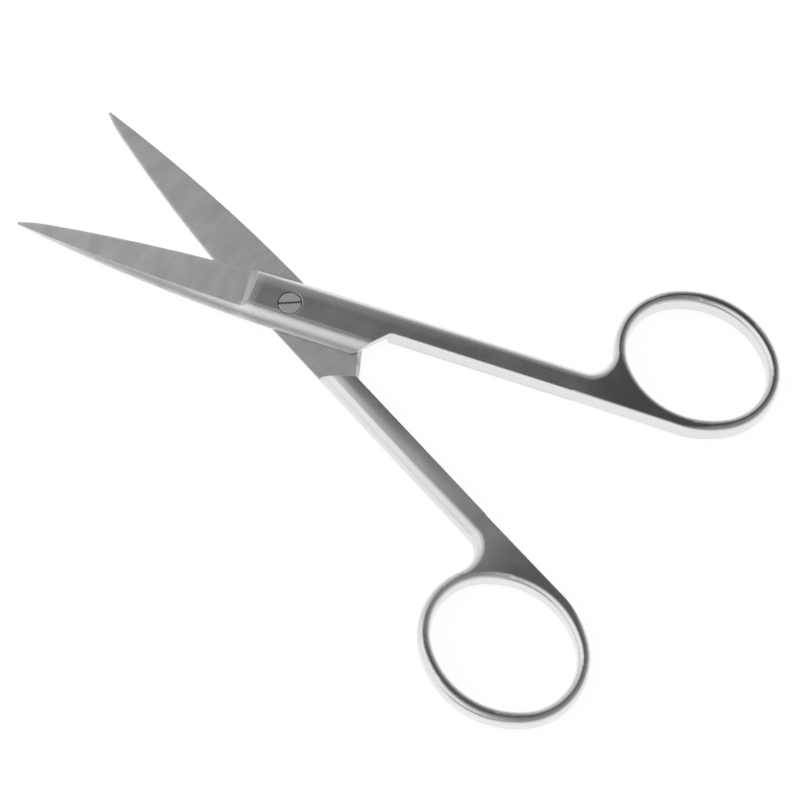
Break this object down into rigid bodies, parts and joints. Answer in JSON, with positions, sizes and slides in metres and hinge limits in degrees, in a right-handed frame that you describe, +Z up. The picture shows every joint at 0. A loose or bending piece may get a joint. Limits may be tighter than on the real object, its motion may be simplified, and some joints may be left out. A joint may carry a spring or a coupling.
{
  "type": "dental scissors",
  "caption": "Straight sharp-pointed scissors: two crossed stainless steel halves with ground blades, flat-sided shanks and oval finger rings, on a slotted pivot screw.",
  "frame": {"origin": "under the middle of the open scissors, on the plane they lie on", "axes": "+X from the tips towards the finger rings, +Y towards the front half's ring, +Z up along the pivot screw towards its slotted head"},
  "size_m": [0.1332, 0.0892, 0.0045],
  "materials": {
    "satin_steel": "satin",
    "screw_steel": "satin, slotted head"
  },
  "bodies": {
    "back": {"back_half": "satin_steel", "pivot_screw": "screw_steel"},
    "front": {"front_half": "satin_steel"}
  },
  "joints": [
    {"name": "pivot", "type": "hinge", "parent": "back", "child": "front", "pos_m": [-0.01496, 0, 0.00225], "axis": [0, 0, 1], "range_deg": [-29.6, 112]}
  ]
}
